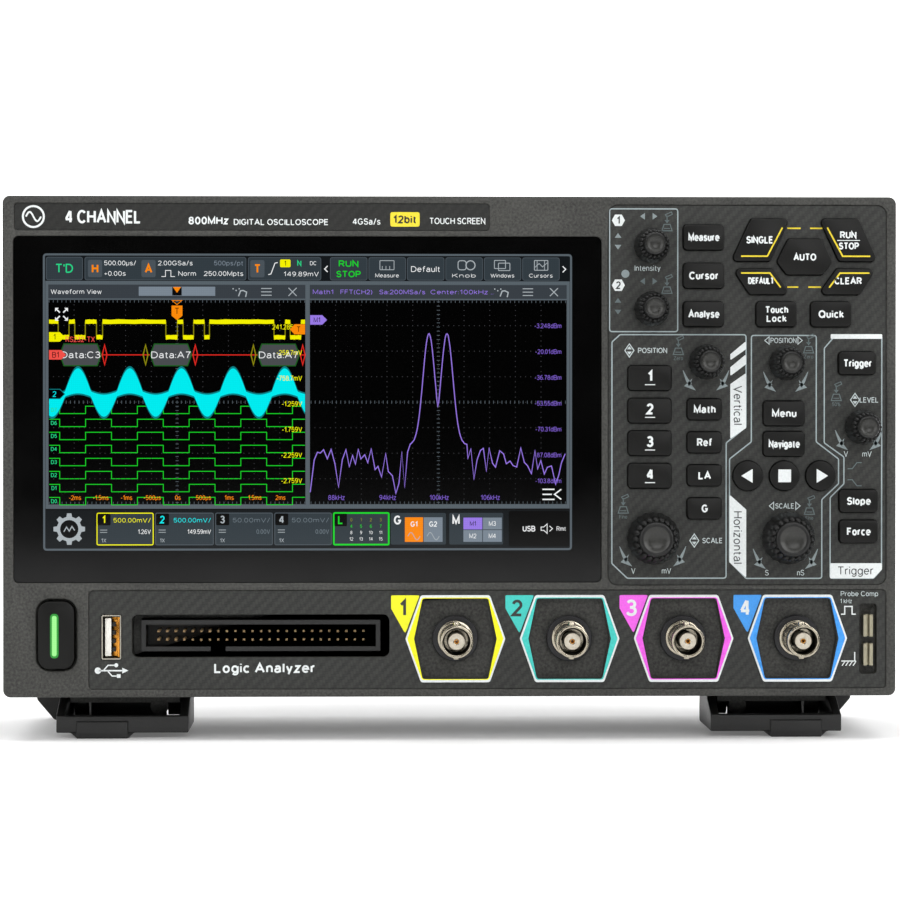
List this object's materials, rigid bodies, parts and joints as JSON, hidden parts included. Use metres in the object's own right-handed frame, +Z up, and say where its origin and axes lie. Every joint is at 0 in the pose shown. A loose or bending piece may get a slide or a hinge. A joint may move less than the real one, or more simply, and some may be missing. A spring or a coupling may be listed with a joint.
{
  "type": "oscilloscope",
  "caption": "Compact bench oscilloscope with a touch screen, keypad, rotary knobs, BNC inputs, a logic probe header and flip-out legs.",
  "frame": {"origin": "centre of the box round the whole object, on the table plane under the feet", "axes": "+X to the right of the front panel, +Y to the back, +Z up; the front panel faces -Y"},
  "size_m": [0.2654, 0.091, 0.1618],
  "materials": {
    "case_plastic": "spark-eroded moulded ABS",
    "rear_plastic": "spark-eroded moulded ABS",
    "screen_glass": "polished black-printed cover glass",
    "lcd": "pressed metal frame",
    "overlay_film": "printed twill-pattern film",
    "silicone": "moulded silicone",
    "circuit_board": "solder mask on glass-epoxy",
    "nickel": "bright nickel plate",
    "channel_colours": "four moulded colours",
    "socket_steel": "plated pressed shell",
    "header_plastic": "black moulded nylon",
    "terminal_metal": "tinned strip",
    "foot_rubber": "matte moulded",
    "screw_steel": "black zinc",
    "fan_plastic": "moulded",
    "leg_plastic": "moulded",
    "shaft_steel": "turned",
    "knob_plastic": "satin moulded",
    "key_plastic": "satin moulded"
  },
  "bodies": {
    "root": {"front_bezel": "case_plastic", "rear_cover": "rear_plastic", "touch_glass": "screen_glass", "lcd_module": "lcd", "panel_overlays": "overlay_film", "keypad_membrane": "silicone", "control_board": "circuit_board", "main_board": "circuit_board", "bnc_connectors": "nickel", "channel_frames": "channel_colours", "sockets": "socket_steel", "logic_header": "header_plastic", "probe_terminals": "terminal_metal", "rear_feet": "foot_rubber", "case_screws": "screw_steel", "fan_frame": "fan_plastic"},
    "fan_rotor": {"fan_rotor": "fan_plastic"},
    "left_leg": {"left_leg": "leg_plastic"},
    "right_leg": {"right_leg": "leg_plastic"},
    "shaft_function_1": {"shaft_function_1": "shaft_steel"},
    "knob_function_1": {"knob_function_1": "knob_plastic"},
    "shaft_function_2": {"shaft_function_2": "shaft_steel"},
    "knob_function_2": {"knob_function_2": "knob_plastic"},
    "shaft_vertical_position": {"shaft_vertical_position": "shaft_steel"},
    "knob_vertical_position": {"knob_vertical_position": "knob_plastic"},
    "shaft_horizontal_position": {"shaft_horizontal_position": "shaft_steel"},
    "knob_horizontal_position": {"knob_horizontal_position": "knob_plastic"},
    "shaft_trigger_level": {"shaft_trigger_level": "shaft_steel"},
    "knob_trigger_level": {"knob_trigger_level": "knob_plastic"},
    "shaft_vertical_scale": {"shaft_vertical_scale": "shaft_steel"},
    "knob_vertical_scale": {"knob_vertical_scale": "knob_plastic"},
    "shaft_horizontal_scale": {"shaft_horizontal_scale": "shaft_steel"},
    "knob_horizontal_scale": {"knob_horizontal_scale": "knob_plastic"},
    "key_measure": {"key_measure": "key_plastic"},
    "key_cursor": {"key_cursor": "key_plastic"},
    "key_analyse": {"key_analyse": "key_plastic"},
    "key_touch_lock": {"key_touch_lock": "key_plastic"},
    "key_quick": {"key_quick": "key_plastic"},
    "key_menu": {"key_menu": "key_plastic"},
    "key_navigate": {"key_navigate": "key_plastic"},
    "key_trigger": {"key_trigger": "key_plastic"},
    "key_slope": {"key_slope": "key_plastic"},
    "key_force": {"key_force": "key_plastic"},
    "key_channel_1": {"key_channel_1": "key_plastic"},
    "key_channel_2": {"key_channel_2": "key_plastic"},
    "key_channel_3": {"key_channel_3": "key_plastic"},
    "key_channel_4": {"key_channel_4": "key_plastic"},
    "key_math": {"key_math": "key_plastic"},
    "key_reference": {"key_reference": "key_plastic"},
    "key_logic": {"key_logic": "key_plastic"},
    "key_generator": {"key_generator": "key_plastic"},
    "key_left": {"key_left": "key_plastic"},
    "key_stop": {"key_stop": "key_plastic"},
    "key_right": {"key_right": "key_plastic"},
    "key_single": {"key_single": "key_plastic"},
    "key_run_stop": {"key_run_stop": "key_plastic"},
    "key_default": {"key_default": "key_plastic"},
    "key_clear": {"key_clear": "key_plastic"},
    "key_auto": {"key_auto": "key_plastic"},
    "key_power": {"key_power": "key_plastic"}
  },
  "joints": [
    {"name": "fan_spin", "type": "hinge", "parent": "root", "child": "fan_rotor", "pos_m": [0.0747, 0.0356, 0.0955], "axis": [0, 1, 0], "continuous": true},
    {"name": "left_leg_fold", "type": "hinge", "parent": "root", "child": "left_leg", "pos_m": [-0.09825, 0.0065, 0.0085], "axis": [1, 0, 0], "range_deg": [0, 85]},
    {"name": "right_leg_fold", "type": "hinge", "parent": "root", "child": "right_leg", "pos_m": [0.09825, 0.0065, 0.0085], "axis": [1, 0, 0], "range_deg": [0, 85]},
    {"name": "function_1_turn", "type": "hinge", "parent": "root", "child": "shaft_function_1", "pos_m": [0.0595, -0.0315, 0.1471], "axis": [0, 1, 0], "continuous": true},
    {"name": "function_1_push", "type": "slide", "parent": "shaft_function_1", "child": "knob_function_1", "axis": [0, 1, 0], "range_m": [0, 0.0005], "stiffness_N_per_m": 900, "springref_m": -0.001},
    {"name": "function_2_turn", "type": "hinge", "parent": "root", "child": "shaft_function_2", "pos_m": [0.0595, -0.0315, 0.1284], "axis": [0, 1, 0], "continuous": true},
    {"name": "function_2_push", "type": "slide", "parent": "shaft_function_2", "child": "knob_function_2", "axis": [0, 1, 0], "range_m": [0, 0.0005], "stiffness_N_per_m": 900, "springref_m": -0.001},
    {"name": "vertical_position_turn", "type": "hinge", "parent": "root", "child": "shaft_vertical_position", "pos_m": [0.0758, -0.0315, 0.1126], "axis": [0, 1, 0], "continuous": true},
    {"name": "vertical_position_push", "type": "slide", "parent": "shaft_vertical_position", "child": "knob_vertical_position", "axis": [0, 1, 0], "range_m": [0, 0.0005], "stiffness_N_per_m": 900, "springref_m": -0.001},
    {"name": "horizontal_position_turn", "type": "hinge", "parent": "root", "child": "shaft_horizontal_position", "pos_m": [0.0997, -0.0315, 0.1123], "axis": [0, 1, 0], "continuous": true},
    {"name": "horizontal_position_push", "type": "slide", "parent": "shaft_horizontal_position", "child": "knob_horizontal_position", "axis": [0, 1, 0], "range_m": [0, 0.0005], "stiffness_N_per_m": 900, "springref_m": -0.001},
    {"name": "trigger_level_turn", "type": "hinge", "parent": "root", "child": "shaft_trigger_level", "pos_m": [0.1223, -0.0315, 0.0933], "axis": [0, 1, 0], "continuous": true},
    {"name": "trigger_level_push", "type": "slide", "parent": "shaft_trigger_level", "child": "knob_trigger_level", "axis": [0, 1, 0], "range_m": [0, 0.0005], "stiffness_N_per_m": 900, "springref_m": -0.001},
    {"name": "vertical_scale_turn", "type": "hinge", "parent": "root", "child": "shaft_vertical_scale", "pos_m": [0.06, -0.0315, 0.0603], "axis": [0, 1, 0], "continuous": true},
    {"name": "vertical_scale_push", "type": "slide", "parent": "shaft_vertical_scale", "child": "knob_vertical_scale", "axis": [0, 1, 0], "range_m": [0, 0.0005], "stiffness_N_per_m": 900, "springref_m": -0.001},
    {"name": "horizontal_scale_turn", "type": "hinge", "parent": "root", "child": "shaft_horizontal_scale", "pos_m": [0.1002, -0.0315, 0.0603], "axis": [0, 1, 0], "continuous": true},
    {"name": "horizontal_scale_push", "type": "slide", "parent": "shaft_horizontal_scale", "child": "knob_horizontal_scale", "axis": [0, 1, 0], "range_m": [0, 0.0005], "stiffness_N_per_m": 900, "springref_m": -0.001},
    {"name": "measure_press", "type": "slide", "parent": "root", "child": "key_measure", "axis": [0, 1, 0], "range_m": [0, 0.0008], "stiffness_N_per_m": 700, "springref_m": -0.001},
    {"name": "cursor_press", "type": "slide", "parent": "root", "child": "key_cursor", "axis": [0, 1, 0], "range_m": [0, 0.0008], "stiffness_N_per_m": 700, "springref_m": -0.001},
    {"name": "analyse_press", "type": "slide", "parent": "root", "child": "key_analyse", "axis": [0, 1, 0], "range_m": [0, 0.0008], "stiffness_N_per_m": 700, "springref_m": -0.001},
    {"name": "touch_lock_press", "type": "slide", "parent": "root", "child": "key_touch_lock", "axis": [0, 1, 0], "range_m": [0, 0.0008], "stiffness_N_per_m": 700, "springref_m": -0.001},
    {"name": "quick_press", "type": "slide", "parent": "root", "child": "key_quick", "axis": [0, 1, 0], "range_m": [0, 0.0008], "stiffness_N_per_m": 700, "springref_m": -0.001},
    {"name": "menu_press", "type": "slide", "parent": "root", "child": "key_menu", "axis": [0, 1, 0], "range_m": [0, 0.0008], "stiffness_N_per_m": 700, "springref_m": -0.001},
    {"name": "navigate_press", "type": "slide", "parent": "root", "child": "key_navigate", "axis": [0, 1, 0], "range_m": [0, 0.0008], "stiffness_N_per_m": 700, "springref_m": -0.001},
    {"name": "trigger_press", "type": "slide", "parent": "root", "child": "key_trigger", "axis": [0, 1, 0], "range_m": [0, 0.0008], "stiffness_N_per_m": 700, "springref_m": -0.001},
    {"name": "slope_press", "type": "slide", "parent": "root", "child": "key_slope", "axis": [0, 1, 0], "range_m": [0, 0.0008], "stiffness_N_per_m": 700, "springref_m": -0.001},
    {"name": "force_press", "type": "slide", "parent": "root", "child": "key_force", "axis": [0, 1, 0], "range_m": [0, 0.0008], "stiffness_N_per_m": 700, "springref_m": -0.001},
    {"name": "channel_1_press", "type": "slide", "parent": "root", "child": "key_channel_1", "axis": [0, 1, 0], "range_m": [0, 0.0008], "stiffness_N_per_m": 700, "springref_m": -0.001},
    {"name": "channel_2_press", "type": "slide", "parent": "root", "child": "key_channel_2", "axis": [0, 1, 0], "range_m": [0, 0.0008], "stiffness_N_per_m": 700, "springref_m": -0.001},
    {"name": "channel_3_press", "type": "slide", "parent": "root", "child": "key_channel_3", "axis": [0, 1, 0], "range_m": [0, 0.0008], "stiffness_N_per_m": 700, "springref_m": -0.001},
    {"name": "channel_4_press", "type": "slide", "parent": "root", "child": "key_channel_4", "axis": [0, 1, 0], "range_m": [0, 0.0008], "stiffness_N_per_m": 700, "springref_m": -0.001},
    {"name": "math_press", "type": "slide", "parent": "root", "child": "key_math", "axis": [0, 1, 0], "range_m": [0, 0.0008], "stiffness_N_per_m": 700, "springref_m": -0.001},
    {"name": "reference_press", "type": "slide", "parent": "root", "child": "key_reference", "axis": [0, 1, 0], "range_m": [0, 0.0008], "stiffness_N_per_m": 700, "springref_m": -0.001},
    {"name": "logic_press", "type": "slide", "parent": "root", "child": "key_logic", "axis": [0, 1, 0], "range_m": [0, 0.0008], "stiffness_N_per_m": 700, "springref_m": -0.001},
    {"name": "generator_press", "type": "slide", "parent": "root", "child": "key_generator", "axis": [0, 1, 0], "range_m": [0, 0.0008], "stiffness_N_per_m": 700, "springref_m": -0.001},
    {"name": "left_press", "type": "slide", "parent": "root", "child": "key_left", "axis": [0, 1, 0], "range_m": [0, 0.0008], "stiffness_N_per_m": 700, "springref_m": -0.001},
    {"name": "stop_press", "type": "slide", "parent": "root", "child": "key_stop", "axis": [0, 1, 0], "range_m": [0, 0.0008], "stiffness_N_per_m": 700, "springref_m": -0.001},
    {"name": "right_press", "type": "slide", "parent": "root", "child": "key_right", "axis": [0, 1, 0], "range_m": [0, 0.0008], "stiffness_N_per_m": 700, "springref_m": -0.001},
    {"name": "single_press", "type": "slide", "parent": "root", "child": "key_single", "axis": [0, 1, 0], "range_m": [0, 0.0008], "stiffness_N_per_m": 700, "springref_m": -0.001},
    {"name": "run_stop_press", "type": "slide", "parent": "root", "child": "key_run_stop", "axis": [0, 1, 0], "range_m": [0, 0.0008], "stiffness_N_per_m": 700, "springref_m": -0.001},
    {"name": "default_press", "type": "slide", "parent": "root", "child": "key_default", "axis": [0, 1, 0], "range_m": [0, 0.0008], "stiffness_N_per_m": 700, "springref_m": -0.001},
    {"name": "clear_press", "type": "slide", "parent": "root", "child": "key_clear", "axis": [0, 1, 0], "range_m": [0, 0.0008], "stiffness_N_per_m": 700, "springref_m": -0.001},
    {"name": "auto_press", "type": "slide", "parent": "root", "child": "key_auto", "axis": [0, 1, 0], "range_m": [0, 0.0008], "stiffness_N_per_m": 700, "springref_m": -0.001},
    {"name": "power_press", "type": "slide", "parent": "root", "child": "key_power", "axis": [0, 1, 0], "range_m": [0, 0.0008], "stiffness_N_per_m": 700, "springref_m": -0.001}
  ]
}
